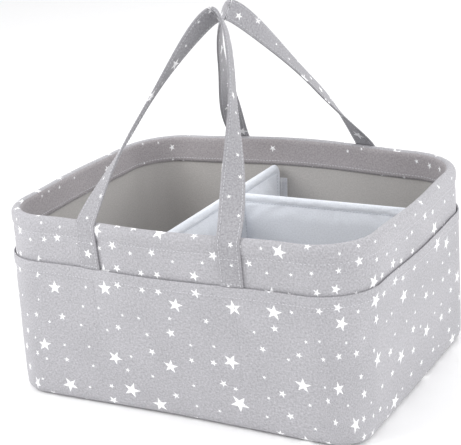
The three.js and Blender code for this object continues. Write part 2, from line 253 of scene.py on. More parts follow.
# %% Star print
STAR_FOLD = math.radians(36)
STAR_NOTCH_SHARE = 0.39
INK_EDGE = 0.1 * MM
SMALL_SPACING = 21 * MM
SMALL_SCATTER = 0.6
SMALL_RADII = (1.9 * MM, 5.0 * MM)
LARGE_SPACING = 56 * MM
LARGE_SCATTER = 0.62
LARGE_RADII = (7.2 * MM, 8.8 * MM)
CLEAR_OF_LARGE = 14 * MM
SPARSE_CLEARANCE = 27 * MM
SIZE_CHANCES = (0.35, 0.95)
INK_WAVES = 900.0
INK_WEAR = (0.25, 0.5)
INK_COVER_SHARES = (0.82, 1.0)
CANVAS_THREAD = 0.9 * MM


def star_cells(tree, cloth, spacing, scatter):
    """The scattered cells of one layer, in cells, and the place on the cloth in the same measure."""
    grid = add(tree, "VectorMath", {0: cloth, 3: 1 / spacing}, operation="SCALE")[0]
    sockets = {"Vector": grid, "Scale": 1.0, "Randomness": scatter}
    return add(tree, "TexVoronoi", sockets, voronoi_dimensions="2D"), grid


def star_layer(tree, cloth, spacing, scatter, radii):
    """The ink of one layer, 1 inside its stars, and the nearest cell's centre on the cloth in metres."""
    cell, grid = star_cells(tree, cloth, spacing, scatter)
    chance = add(tree, "SeparateColor", {0: cell["Color"]})
    from_centre = add(tree, "VectorMath", {0: grid, 1: cell["Position"]}, operation="SUBTRACT")[0]
    place = add(tree, "SeparateXYZ", {0: from_centre})
    angle = math_node(tree, "ARCTAN2", place["Y"], place["X"])
    turned_angle = math_node(tree, "MULTIPLY_ADD", chance["Red"], 2 * math.pi, angle)
    folded = math_node(tree, "PINGPONG", turned_angle, STAR_FOLD)
    distance = math_node(tree, "MULTIPLY", cell["Distance"], spacing)
    notch_along = STAR_NOTCH_SHARE * math.cos(STAR_FOLD)
    notch_across = STAR_NOTCH_SHARE * math.sin(STAR_FOLD)
    edge_lean = math.atan2(1 - notch_along, notch_across)
    from_edge = math_node(tree, "SUBTRACT", folded, edge_lean)
    reach = math_node(tree, "MULTIPLY", distance, math_node(tree, "COSINE", from_edge))
    size = range_node(tree, chance["Green"], *SIZE_CHANCES, *radii)
    inside = math_node(tree, "SUBTRACT", math_node(tree, "MULTIPLY", size, math.cos(edge_lean)), reach)
    ink = range_node(tree, inside, -INK_EDGE, INK_EDGE)
    centre = add(tree, "VectorMath", {0: cell["Position"], 3: spacing}, operation="SCALE")[0]
    return ink, centre


def printed_canvas(name, base, seed, tint=0.17, sparse=False):
    """Canvas with the star print, shifted by a seed in metres. A sparse one keeps few of the small stars."""
    material, tree, shader = new_material(name, roughness=0.92, ior=COTTON_IOR, sheen=0.12)
    uncut = add(tree, "UVMap", uv_map="cloth")[0]
    cloth = add(tree, "Mapping", {"Vector": uncut, "Location": (seed, seed / 3, 0)})[0]
    small, small_centre = star_layer(tree, cloth, SMALL_SPACING, SMALL_SCATTER, SMALL_RADII)
    nearest = star_cells(tree, small_centre, LARGE_SPACING, LARGE_SCATTER)[0]
    room = (SPARSE_CLEARANCE if sparse else CLEAR_OF_LARGE) / LARGE_SPACING
    clear = math_node(tree, "GREATER_THAN", nearest["Distance"], room)
    stars = math_node(tree, "MULTIPLY", small, clear)
    if not sparse:
        large = star_layer(tree, cloth, LARGE_SPACING, LARGE_SCATTER, LARGE_RADII)[0]
        stars = math_node(tree, "MAXIMUM", stars, large)
    worn = noise_node(tree, cloth, INK_WAVES, 1.0)
    cover = math_node(tree, "MULTIPLY", stars, range_node(tree, worn, *INK_WEAR, *INK_COVER_SHARES))
    colour = add(tree, "Mix", {0: cover, 6: linear(base), 7: linear("#FAFAFB")}, data_type="RGBA")[2]
    finish_cloth(tree, shader, cloth, colour, CANVAS_THREAD, tint, depth=0.25)
    return material


def plain_cloth(name, base, thread, tint=0.08):
    """Plain woven cotton, without a print."""
    material, tree, shader = new_material(name, roughness=0.9, ior=COTTON_IOR, sheen=0.1)
    cloth = add(tree, "UVMap", uv_map="cloth")[0]
    finish_cloth(tree, shader, cloth, plain_colour(tree, base), thread, tint, depth=0.2)
    return material


STAR_CANVAS = printed_canvas("star_print_cotton_canvas", "#ADACB0", 0.0)
STRAP_CANVAS = printed_canvas("star_print_strap_canvas", "#A09FA3", 0.37, tint=0.19)
# The inside of the rim hem: the star print with few stars, painted darker and browner as shade
INNER_HEM_SHADE_CANVAS = printed_canvas("sparse_star_painted_shade_canvas", "#A5A0A2", 0.71, sparse=True)
LINING_COTTON = plain_cloth("grey_cotton_lining", "#B4B1AE", 0.8 * MM)
DIVIDER_COTTON = plain_cloth("pale_blue_white_cotton", "#E3E7EE", 0.8 * MM, tint=0.05)
BASE_CANVAS = plain_cloth("grey_cotton_canvas", "#B2B3B8", 1.0 * MM)
cloths = (STAR_CANVAS, STRAP_CANVAS, INNER_HEM_SHADE_CANVAS, LINING_COTTON, DIVIDER_COTTON, BASE_CANVAS)
print("cloths:", [cloth.name for cloth in cloths])

# %% [markdown]
# Sewing thread is spun polyester. It is smoother than the cotton, so it is a little less rough, and the ply
# of the thread is too fine to see. The touch fastener is nylon pile, drawn as fine noise. The floor is a
# sheet of pale paper.

# %% Thread, pile and floor
POLYESTER_IOR = 1.57
NYLON_IOR = 1.53
FIBRE_WAVES = 1500.0
PAPER_WAVES = 60.0
PAPER_VALUES = (0.94, 0.96)
THREAD_SHADE_SHARES = (0.86, 1.06)
PILE_SHADE_SHARES = (0.75, 1.05)
PILE_RELIEF = 0.5 * MM


def mottle(tree, shader, base, speckle, shades):
    """Tints a plain colour by noise, between two shares of it."""
    shade = range_node(tree, speckle, *NOISE_SPREAD, *shades)
    tinted = add(tree, "VectorMath", {0: plain_colour(tree, base), 3: shade}, operation="SCALE")[0]
    tree.links.new(tinted, shader.inputs["Base Color"])


def thread_material(name, base):
    """Spun polyester thread."""
    material, tree, shader = new_material(name, roughness=0.6, ior=POLYESTER_IOR, sheen=0.05)
    fibre = noise_node(tree, add(tree, "TexCoord")["Object"], FIBRE_WAVES)
    mottle(tree, shader, base, fibre, THREAD_SHADE_SHARES)
    return material


def pile_material(name, base, grain):
    """Nylon pile, with the size of its grain in metres."""
    material, tree, shader = new_material(name, roughness=0.95, ior=NYLON_IOR, sheen=0.3)
    pile = noise_node(tree, add(tree, "TexCoord")["Object"], 1 / grain, 3.0, Roughness=0.7)
    mottle(tree, shader, base, pile, PILE_SHADE_SHARES)
    bump = add(tree, "Bump", {"Height": pile, "Strength": 0.6, "Distance": PILE_RELIEF})[0]
    tree.links.new(bump, shader.inputs["Normal"])
    return material


GREY_THREAD = thread_material("grey_polyester_thread", "#D0D0D4")
TONAL_THREAD = thread_material("tonal_polyester_thread", "#B6B5B9")
PALE_THREAD = thread_material("pale_polyester_thread", "#CBCFD8")
TOUCH_TAPE = pile_material("white_nylon_loop_pile", "#DCDDE2", 0.7 * MM)
HOOK_TAPE = pile_material("white_nylon_hook_pile", "#E2E3E6", 1.1 * MM)

PAPER, floor_tree, floor_shader = new_material("pale_paper_backdrop", roughness=0.85)
floor_grain = noise_node(floor_tree, add(floor_tree, "TexCoord")["Object"], PAPER_WAVES)
floor_value = range_node(floor_tree, floor_grain, 0, 1, *PAPER_VALUES)
floor_tree.links.new(floor_value, floor_shader.inputs["Base Color"])
bpy.ops.mesh.primitive_plane_add(size=14)
floor = bpy.context.object
floor.name = "floor"
floor.data.materials.append(PAPER)
print("finishes:", [m.name for m in (GREY_THREAD, TONAL_THREAD, PALE_THREAD, TOUCH_TAPE, HOOK_TAPE, PAPER)])

# %% [markdown]
# The caddy's walls are one soft rounded rectangle that changes with height: the corners are tight at the base
# and wide at the rim, the long walls bow out along the rim, and the rim itself is a little crowned. A short
# formula gives a point on any layer of the wall from three numbers: how far along, how high and how far in.
# Each cloth below is a section of such points, swept round the caddy. The bows are given for base and rim.

# %% The form of the walls
LENGTH = 380 * MM
WIDTH = 294 * MM
HEIGHT = 187 * MM
WALL_LEAN = 6 * MM
RIM_CORNER = 59 * MM
BASE_CORNER = 28 * MM
LONG_BOWS = (-3 * MM, 11 * MM)
SHORT_BOWS = (0.5 * MM, 3.5 * MM)
RIM_CROWN = 4 * MM
SMALLEST_CORNER = 2 * MM
LONG_STEPS = 72
SHORT_STEPS = 54
CORNER_STEPS = 22


def lerp(a, b, share):
    """The place a share of the way from a to b."""
    return a + (b - a) * share


def smooth(value, low, high):
    """0 below low, 1 above high, and an even S between them."""
    share = np.clip((value - low) / (high - low), 0, 1)
    return share * share * (3 - 2 * share)


# One station is one place round the wall: its side, whether it is on a corner, and its share of that stretch
stations = []
for side in range(4):
    steps = SHORT_STEPS if side % 2 else LONG_STEPS
    stations += [(side, 0, i / steps) for i in range(steps)]
    stations += [(side, 1, i / CORNER_STEPS) for i in range(CORNER_STEPS)]
STATIONS = np.array(stations)
STATION_TURN = STATIONS[:, 0] * math.pi / 2
ALONG = np.stack([np.cos(STATION_TURN), np.sin(STATION_TURN)], 1)
OUTWARD = np.stack([np.sin(STATION_TURN), -np.cos(STATION_TURN)], 1)
ON_LONG = STATIONS[:, 0] % 2 == 0
ON_CORNER = STATIONS[:, 1] == 1
SHARE = STATIONS[:, 2]


def wall_sizes(on_long, up, inset):
    """A wall's corner radius, half its straight length, its distance from the middle, and its bow."""
    corner = np.maximum(lerp(BASE_CORNER, RIM_CORNER, up) - inset, SMALLEST_CORNER)
    half_length, half_width = (size / 2 - WALL_LEAN * (1 - up) - inset for size in (LENGTH, WIDTH))
    straight = np.where(on_long, half_length, half_width) - corner
    out = np.where(on_long, half_width, half_length)
    return corner, straight, out, np.where(on_long, lerp(*LONG_BOWS, up), lerp(*SHORT_BOWS, up))


def crown_ratio(x):
    """How much higher than at the ends the wall is at x, as a ratio."""
    return 1 + (RIM_CROWN / HEIGHT) * (1 - (x / (LENGTH / 2)) ** 2)


def wall_loop(inset, z):
    """The points of one loop round the wall. The inset is one number, or one for each station."""
    up = z / HEIGHT
    corner, straight, out, bow = wall_sizes(ON_LONG, up, inset)
    turn = SHARE * math.pi / 2
    corner_out = out - corner + corner * np.cos(turn)
    along = np.where(ON_CORNER, straight + corner * np.sin(turn), lerp(-straight, straight, SHARE))
    outward = np.where(ON_CORNER, corner_out, out + bow * np.sin(math.pi * SHARE) ** 2)
    flat = ALONG * along[:, None] + OUTWARD * outward[:, None]
    return np.column_stack([flat, up * HEIGHT * crown_ratio(flat[:, 0])])


def wall_face(on_long, along, z, inset):
    """Distance of a wall's layer from the middle, at a place along the wall and a height over the ground."""
    up = z / HEIGHT / (crown_ratio(along) if on_long else 1)
    corner, straight, out, bow = wall_sizes(on_long, up, inset)
    return float(out + bow * math.sin(math.pi * (along + straight) / (2 * straight)) ** 2)


long_face = partial(wall_face, True)
short_face = partial(wall_face, False)


def lengths_along(places, closed=False):
    """How far along a line each of its places is, and the whole length last where the line closes."""
    ends = list(places) + [places[0]] if closed else places
    return np.concatenate([[0], np.cumsum([math.dist(a, b) for a, b in zip(ends, ends[1:])])])


ROUND = lengths_along(wall_loop(0, HEIGHT), closed=True)

# %% [markdown]
# One function turns a grid of points into a mesh with a map of the cloth in real metres, so that weave and
# print keep their size on every piece. Every grid closes on itself round its columns, as cloth goes round a
# wall or a strap. Its rows can close too, or be capped at both ends. Rows are close where cloth bends and
# shows, and wide apart where it is flat or hidden.

# %% Mesh from a grid of points
WALL_STEP = 2.4 * MM
HEM_STEP = 1.6 * MM
CLOTH_STEP = 3 * MM
FLAT_STEP = 6 * MM
WIDE_STEP = 8 * MM
FOAM_STEP = 30 * MM


def new_piece(name, points, faces, material, corners=None):
    """A smooth object with its faces looking outward, and a place on the cloth for each face's corners."""
    mesh = bpy.data.meshes.new(name)
    mesh.from_pydata(points, [], faces)
    if corners is not None:
        layer = mesh.uv_layers.new(name="cloth")
        layer.data.foreach_set("uv", np.array(corners, np.float32).ravel())
    mesh.materials.append(material)
    mesh.shade_smooth()
    mesh.calc_loop_triangles()
    volume = 0.0
    for triangle in mesh.loop_triangles:
        a, b, c = (mesh.vertices[i].co for i in triangle.vertices)
        volume += a.dot(b.cross(c))
    if volume < 0:
        mesh.flip_normals()
    made = bpy.data.objects.new(name, mesh)
    bpy.context.collection.objects.link(made)
    print(name, len(faces), "faces")
    return made


def grid_faces(rows, columns, close_rows=False, cap_rows=False):
    """Faces of a grid whose columns close on themselves. Each is a list of (row, column) corners."""
    faces = []
    for i in range(rows if close_rows else rows - 1):
        faces += [((i, j), (i, j + 1), (i + 1, j + 1), (i + 1, j)) for j in range(columns)]
    if cap_rows:
        faces.append([(0, j) for j in range(columns - 1, -1, -1)])
        faces.append([(rows - 1, j) for j in range(columns)])
    return faces


def grid_mesh(name, points, cloth, material, **ends):
    """A piece from a grid of points. cloth has one more column, and one more row if the rows close."""
    rows, columns = points.shape[:2]
    grid = grid_faces(rows, columns, **ends)
    faces = [[(a % rows) * columns + b % columns for a, b in face] for face in grid]
    corners = [cloth[a][b] for face in grid for a, b in face]
    return new_piece(name, points.reshape(-1, 3).tolist(), faces, material, corners)


def apply_modifiers(made):
    """Bakes a piece's modifiers into its mesh."""
    shaped = bpy.data.meshes.new_from_object(made.evaluated_get(bpy.context.evaluated_depsgraph_get()))
    made.modifiers.clear()
    made.data = shaped


def wall_cloth(name, section, material, shift):
    """Sweeps a section of (inset, z, part of the shift it takes) round the wall and closes it."""
    loops = [wall_loop(inset - (part * shift(z) if part else 0), z) for inset, z, part in section]
    down = lengths_along([(inset, z) for inset, z, part in section], closed=True)
    cloth = np.stack(np.meshgrid(ROUND, down), -1)
    return grid_mesh(name, np.array(loops), cloth, material, close_rows=True)


def rows_between(low, high, step):
    """Even numbers from low to high, about a step apart."""
    return np.linspace(low, high, max(2, round(abs(high - low) / step) + 1)).tolist()


def ripple(seed, size):
    """Gentle unevenness along the wall, from -1 to 1, for each station at a height."""
    def at(z):
        loop = wall_loop(0, z)
        return np.array([noise.noise(Vector(p) / size + Vector((seed, seed, seed))) for p in loop])
    return at


# %% [markdown]
# The padded wall is canvas turned over foam. Below the rim a row of topstitching pulls the canvas into the
# foam, so the rim above it stands out as a soft roll. The stitch is a real groove here, with small puckers
# beside it, because a groove in the mesh also shows in the outline. The canvas ends in a hem inside, and the
# faces past the crest of the rim take a second canvas with few stars, painted darker and browner as shade.

# %% Padded walls
CANVAS = 1.2 * MM
FOAM = 5.5 * MM
LINING = 0.8 * MM
SEAT = 0.3 * MM
FOAM_INNER = CANVAS + SEAT + FOAM
LINING_OUTER = FOAM_INNER + SEAT
LINING_INNER = LINING_OUTER + LINING
HEM_OUTER = LINING_INNER + SEAT
HEM_INNER = HEM_OUTER + CANVAS
CREST = HEM_INNER / 2
RIM_HEM = 28 * MM
HEM_TUCK = 10 * MM
FOOT_RADIUS = 9 * MM
TOPSTITCH_DROP = 16 * MM
TOPSTITCH_Z = HEIGHT - TOPSTITCH_DROP
STITCH_DEPTH = 0.7 * MM
STITCH_PULL_WIDTH = 2.2 * MM
ROLL_SWELL = 0.9 * MM
WALL_WAVE = 0.45 * MM
PUCKER = 0.35 * MM
PUCKER_WIDTH = 6 * MM
CREST_STEPS = 16
SHADED_HEM_FROM_STEP = 12

wall_ripple = ripple(seed=3.1, size=48 * MM)
wall_pucker = ripple(seed=7.7, size=8 * MM)


def groove(z, at, width):
    """1 in the middle of a stitched line and 0 a few widths away."""
    return math.exp(-((z - at) / width) ** 2)


def wall_shift(z):
    """How far the padded wall stands out from its plain form at a height, for each station."""
    roll = ROLL_SWELL * math.sin(math.pi * min(max((z - TOPSTITCH_Z) / TOPSTITCH_DROP, 0), 1))
    pull = STITCH_DEPTH * groove(z, TOPSTITCH_Z, STITCH_PULL_WIDTH)
    puckers = PUCKER * groove(z, TOPSTITCH_Z, PUCKER_WIDTH) * wall_pucker(z)
    return roll - pull + WALL_WAVE * wall_ripple(z) + puckers


foot_z = FOOT_RADIUS + 2 * SEAT + CANVAS
crest_z = HEIGHT - CREST
hem_end_z = HEIGHT - RIM_HEM
wall_section = [(0, z, 1) for z in rows_between(foot_z, crest_z, WALL_STEP)]
shaded_hem_from = len(wall_section) - 1 + SHADED_HEM_FROM_STEP
for i in range(1, CREST_STEPS + 1):
    turn = math.pi * i / CREST_STEPS
    crest_inset = CREST - CREST * math.cos(turn)
    wall_section.append((crest_inset, crest_z + CREST * math.sin(turn), math.cos(turn / 2)))
wall_section += [(HEM_INNER, z, 0) for z in rows_between(crest_z, hem_end_z, CLOTH_STEP)[1:]]
wall_section += [(HEM_OUTER, hem_end_z, 0), (LINING_OUTER - SEAT, hem_end_z + HEM_TUCK, 0)]
wall_section += [(FOAM_INNER, z, 0) for z in rows_between(hem_end_z, foot_z, FOAM_STEP)]
padded_walls = wall_cloth("padded_canvas_walls", wall_section, STAR_CANVAS, wall_shift)
# Faces past the crest of the rim take the canvas painted darker and browner as shade
padded_walls.data.materials.append(INNER_HEM_SHADE_CANVAS)
for face in padded_walls.data.polygons[shaded_hem_from * len(SHARE):]:
    face.material_index = 1
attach(padded_walls, "caddy")
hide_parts("outer_shell", "front_padding", "right_padding", "back_padding", "left_padding")

# %% [markdown]
# Stitches are small bars of thread, each dipping into the cloth at its ends. They are one mesh to a seam,
# made by walking along the seam and setting a short bent bar at every pitch.

# %% Stitches
STITCH_PITCH = 3.4 * MM
STITCH_LENGTH = 2.5 * MM
THREAD_RADIUS = 0.33 * MM
BAR_SHARES = (-0.5, -0.36, 0.0, 0.36, 0.5)
BAR_RISE_SHARES = (-0.9, 0.35, 0.75, 0.35, -0.9)
BAR_GIRTH_SHARES = (0.35, 0.9, 1.0, 0.9, 0.35)
BAR_SIDES = 6
HEM_STITCH_IN = 4 * MM
# The distance over which a direction is read
PROBE = 1 * MM


def stitch_bar(at, along, out):
    """The points of one stitch, in rings from end to end."""
    out = out - along * (out @ along)
    out /= np.linalg.norm(out)
    side = np.cross(along, out)
    points = []
    for share, rise, girth in zip(BAR_SHARES, BAR_RISE_SHARES, BAR_GIRTH_SHARES):
        centre = at + along * share * STITCH_LENGTH + out * rise * THREAD_RADIUS
        for s in range(BAR_SIDES):
            turn = 2 * math.pi * s / BAR_SIDES
            spoke = side * math.cos(turn) + out * math.sin(turn)
            points.append(centre + spoke * girth * THREAD_RADIUS)
    return points


def stitch_seam(name, lines, material):
    """One mesh of stitches. lines is a list of (points, outward directions) that the seam follows."""
    vertices = []
    faces = []
    bar_faces = grid_faces(len(BAR_SHARES), BAR_SIDES, cap_rows=True)
    for points, normals in lines:
        reach = lengths_along(points)
        pitches = max(1, int(reach[-1] / STITCH_PITCH))

        def read(values, place):
            return np.array([np.interp(place, reach, axis) for axis in np.asarray(values).T])

        for k in range(pitches):
            middle = (k + 0.5) * reach[-1] / pitches
            ahead = read(points, middle + PROBE) - read(points, middle - PROBE)
            along = ahead / np.linalg.norm(ahead)
            base = len(vertices)
            vertices += stitch_bar(read(points, middle), along, read(normals, middle))
            faces += [[base + a * BAR_SIDES + b % BAR_SIDES for a, b in face] for face in bar_faces]
    return new_piece(name, vertices, faces, material)


def round_line(inset, z, shift=None, inward=False):
    """A seam that runs all the way round the wall, and its outward directions."""
    moved = shift(z) if shift else 0
    loop = wall_loop(inset - moved, z)
    out = wall_loop(inset - moved + (PROBE if inward else -PROBE), z) - loop
    return np.vstack([loop, loop[:1]]), np.vstack([out, out[:1]])


rim_line = round_line(0, TOPSTITCH_Z, wall_shift)
hem_line = round_line(HEM_INNER, hem_end_z + HEM_STITCH_IN, inward=True)
for name, line in (("rim_topstitching", rim_line), ("inner_hem_stitching", hem_line)):
    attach(stitch_seam(name, [line], GREY_THREAD), "caddy")

# %% [markdown]
# The pockets are one band of canvas round all four walls, open at the top and stitched down to the wall in
# upright lines below the handles. Between those lines the band stands off the wall a little, most at its
# mouth, and that is what tells the eye that it is a pocket.

# %% Pocket wrap
POCKET_TOP = HEIGHT - 44 * MM
POCKET_HEM = 12 * MM
HEM_RISE = 1.5 * MM
MOUTH_FROM = POCKET_TOP - 1.2 * MM
WRAP_OUTER = SEAT + CANVAS
WRAP_EDGE = 0.6 * MM
MOUTH_GAPE = 0.8 * MM
FOOT_GAPE_SHARE = 0.35
GAPE_REACH = 34 * MM
WRAP_WAVE = 0.5 * MM
SEAM_DIP = 0.5 * MM
SEAM_DIP_WIDTH = 3 * MM
HEM_PULL = 0.35 * MM
HEM_PULL_WIDTH = 1.6 * MM
HEM_PUCKER = 0.25 * MM
HEM_PUCKER_WIDTH = 5 * MM
STILL_UNDER = 6 * MM
FREE_OVER = 30 * MM
STRAP_CENTRE = 74 * MM
HEM_STITCH_Z = POCKET_TOP - 10 * MM
POCKET_SEAM_FROM = 16 * MM
UNDER_MOUTH = POCKET_TOP - 2 * MM
POCKET_SEAM_STEP = 4 * MM
FOOT_STEPS = 10
# Points of the round at the mouth: how far over the band's plain face, and how far under its top
MOUTH_ROUND = ((0.36 * MM, 0.3 * MM), (-0.2 * MM, 0), (-0.9 * MM, 0.4 * MM))

# Distance of each station from the nearest dividing seam. The short walls and the corners have none
station_x = np.abs(wall_loop(0, HEIGHT / 2)[:, 0])
from_seam = np.where(ON_LONG & ~ON_CORNER, np.abs(station_x - STRAP_CENTRE), LENGTH)
gape = smooth(from_seam, 0, GAPE_REACH)
seam_dip = SEAM_DIP * np.exp(-(from_seam / SEAM_DIP_WIDTH) ** 2)
wrap_ripple = ripple(seed=11.3, size=42 * MM)
wrap_pucker = ripple(seed=5.2, size=9 * MM)


def wrap_shift(z):
    """How far the pocket wrap stands off its plain form."""
    swell = MOUTH_GAPE * gape * lerp(FOOT_GAPE_SHARE, 1, smooth(z, FREE_OVER, POCKET_TOP))
    waves = WRAP_WAVE * wrap_ripple(z) * gape
    hem_pull = HEM_PULL * groove(z, HEM_STITCH_Z, HEM_PULL_WIDTH)
    puckers = HEM_PUCKER * groove(z, HEM_STITCH_Z, HEM_PUCKER_WIDTH) * wrap_pucker(z)
    return smooth(z, STILL_UNDER, FREE_OVER) * (swell + waves - hem_pull + puckers - seam_dip)


foot_arc_z = FOOT_RADIUS + SEAT


def foot_arc(radius):
    """The turn under the foot, from the wall to the ground, at a radius."""
    turns = [math.pi / 2 * i / FOOT_STEPS for i in range(1, FOOT_STEPS + 1)]
    centre = FOOT_RADIUS - WRAP_OUTER
    return [(centre - radius * math.cos(turn), foot_arc_z - radius * math.sin(turn), 0) for turn in turns]


hem_from = POCKET_TOP - POCKET_HEM
hem_outer = -WRAP_OUTER - WRAP_EDGE
wrap_section = foot_arc(FOOT_RADIUS)[::-1]
wrap_section += [(-WRAP_OUTER, z, 1) for z in rows_between(foot_arc_z, hem_from, CLOTH_STEP)]
wrap_section += [(hem_outer, z, 1) for z in rows_between(hem_from + HEM_RISE, MOUTH_FROM, HEM_STEP)]
wrap_section += [(-WRAP_OUTER - out, POCKET_TOP - drop, 1) for out, drop in MOUTH_ROUND]
wrap_section += [(-SEAT, z, 1) for z in rows_between(UNDER_MOUTH, foot_arc_z, WIDE_STEP)]
wrap_section += foot_arc(FOOT_RADIUS - CANVAS)
pocket_wrap = wall_cloth("pocket_wrap_canvas", wrap_section, STAR_CANVAS, wrap_shift)
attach(pocket_wrap, "caddy")
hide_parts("pocket_wrap")

hem_line = round_line(hem_outer, HEM_STITCH_Z, wrap_shift)
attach(stitch_seam("pocket_hem_stitching", [hem_line], GREY_THREAD), "caddy")

pocket_lines = []
heights = rows_between(POCKET_SEAM_FROM, UNDER_MOUTH, POCKET_SEAM_STEP)
for side_y in (-1, 1):
    for seam_x in (-STRAP_CENTRE, STRAP_CENTRE):
        line = [(seam_x, side_y * long_face(seam_x, z, SEAM_DIP - WRAP_OUTER), z) for z in heights]
        pocket_lines.append((line, [(0, side_y, 0)] * len(line)))
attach(stitch_seam("pocket_dividing_stitching", pocket_lines, TONAL_THREAD), "caddy")

# %% [markdown]
# The lining is one tube of plain cotton that hangs inside the foam, tucked behind the rim hem. Its upright
# creases are low and broad, because it is held top and bottom.

# %% Lining, floor and underside
FLOOR_FROM = 4.6 * MM
FLOOR_TOP = 5.6 * MM
FLOOR_CROWN = 0.8 * MM
BASE_THICK = 1.5 * MM
LINING_TOP = HEIGHT - RIM_HEM + 8 * MM
LINING_WAVE = 0.35 * MM
LINING_HELD = 14 * MM
PANEL_LOW_SHARES = (0.0, 0.5, 0.9, 1.0)
PANEL_HIGH_SHARES = (1.0, 0.97, 0.92, 0.8, 0.6, 0.3, 0.0)
PANEL_EDGE_STEPS = 8
CROWN_POWER = 4
WELD_REACH = 0.02 * MM
lining_ripple = ripple(seed=17.9, size=36 * MM)


def lining_shift(z):
    """How far the lining's creases stand out. They fade where it is held at its foot and its top."""
    held = smooth(z, FLOOR_TOP, FREE_OVER) * (1 - smooth(z, LINING_TOP - LINING_HELD, LINING_TOP))
    return LINING_WAVE * lining_ripple(z) * held


lining_section = [(LINING_OUTER, z, 1) for z in rows_between(FLOOR_FROM, LINING_TOP, FLAT_STEP)]
lining_section += [(LINING_INNER, z, 1) for z in rows_between(LINING_TOP, FLOOR_FROM, CLOTH_STEP)]
wall_lining = wall_cloth("wall_lining_cotton", lining_section, LINING_COTTON, lining_shift)
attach(wall_lining, "caddy")
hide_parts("wall_lining")


def flat_panel(name, inset, low, high, crown, material):
    """A flat sewn panel with a rounded edge and a slight crown, from shrinking outlines."""
    edge = (high - low) / 2
    rings = [(share, low) for share in PANEL_LOW_SHARES]
    for turn in (math.pi * i / PANEL_EDGE_STEPS for i in range(1, PANEL_EDGE_STEPS)):
        rings.append((1 + edge * math.sin(turn) / (WIDTH / 2), low + edge - edge * math.cos(turn)))
    rings += [(share, high + crown * (1 - share ** CROWN_POWER)) for share in PANEL_HIGH_SHARES]
    outline = wall_loop(inset, 0)[:, :2]
    points = np.array([np.column_stack([outline * share, np.full(len(outline), z)]) for share, z in rings])
    cloth = np.concatenate([points[:, :, :2], points[:, :1, :2]], 1)
    made = grid_mesh(name, points, cloth, material)
    made.modifiers.new("close_middles", "WELD").merge_threshold = WELD_REACH / 2
    apply_modifiers(made)
    return made


floor_inset = LINING_INNER + 2 * SEAT
floor_panel = flat_panel("floor_lining_panel", floor_inset, FLOOR_FROM, FLOOR_TOP, FLOOR_CROWN, LINING_COTTON)
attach(floor_panel, "caddy")
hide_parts("floor_lining", "base_board")
base_inset = FOOT_RADIUS - WRAP_OUTER + 3 * SEAT
underside = flat_panel("underside_canvas", base_inset, 0, BASE_THICK, 0, BASE_CANVAS)
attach(underside, "caddy")
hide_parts("base_panel")

# %% [markdown]
# Each handle is one flat strap of folded canvas, sewn to the wall at both ends and stitched along both
# edges. It runs up the wall, over the roll of the rim, and leans in. On its way to the top it makes about a
# quarter turn, so the broad side that lies on the wall looks up at the peak, and its two legs do that at
# different rates. The strap is a rounded strip swept along that path. It crosses the fold at the top of its
# sewn ends.

# %% Strap path
STRAP_WIDTH = 22.5 * MM
STRAP_THICK = 2.2 * MM
STITCHED_LENGTH = 25 * MM
ARCH_LEAN = math.radians(40)
ARCH_RISE = 217 * MM
ARCH_LEG_PULL = 40 * MM
ARCH_LEG_DRAW = 2 * MM
ARCH_TOP_PULL = 22 * MM
PEAK_TWIST = math.radians(98)
STEADY_TURN_SHARE = 0.6
HELD_TURN_SHARE = 0.55
HOLD_FROM_SHARE = 0.42
HOLD_TO_SHARE = 0.45
LAST_TURN_SHARE = 0.9
STRAP_STEP = 2.5 * MM
RIM_STEPS = 8
ARCH_STEPS = 48
EDGE_X = (STRAP_CENTRE + STRAP_WIDTH / 2, STRAP_CENTRE - STRAP_WIDTH / 2)
STITCHED_FROM = POCKET_TOP * crown_ratio(EDGE_X[1]) + SEAT
STITCHED_TOP = STITCHED_FROM + STITCHED_LENGTH


def station_on_wall(place_at, bend):
    """A strap station from its two edges: centre, direction across and outward normal."""
    right, left = (Vector(place_at(x)) for x in EDGE_X)
    out = Vector(((right.y - left.y) / STRAP_WIDTH, -math.cos(bend), math.sin(bend)))
    return (right + left) / 2, (right - left).normalized(), out.normalized()


def steady_turn(share):
    """The right leg turns steadily on its way up."""
    return float(smooth(share, 0, STEADY_TURN_SHARE))


def held_turn(share):
    """The left leg turns about half way, holds that, and makes the rest of its turn near the peak."""
    first = HELD_TURN_SHARE * float(smooth(share, 0, HOLD_FROM_SHARE))
    return lerp(first, 1, float(smooth(share, HOLD_TO_SHARE, LAST_TURN_SHARE)))


def bezier(pulls, share):
    """The place on a Bezier curve, and the way it runs there."""
    while len(pulls) > 2:
        pulls = [lerp(a, b, share) for a, b in zip(pulls, pulls[1:])]
    return lerp(*pulls, share), (pulls[1] - pulls[0]).normalized()


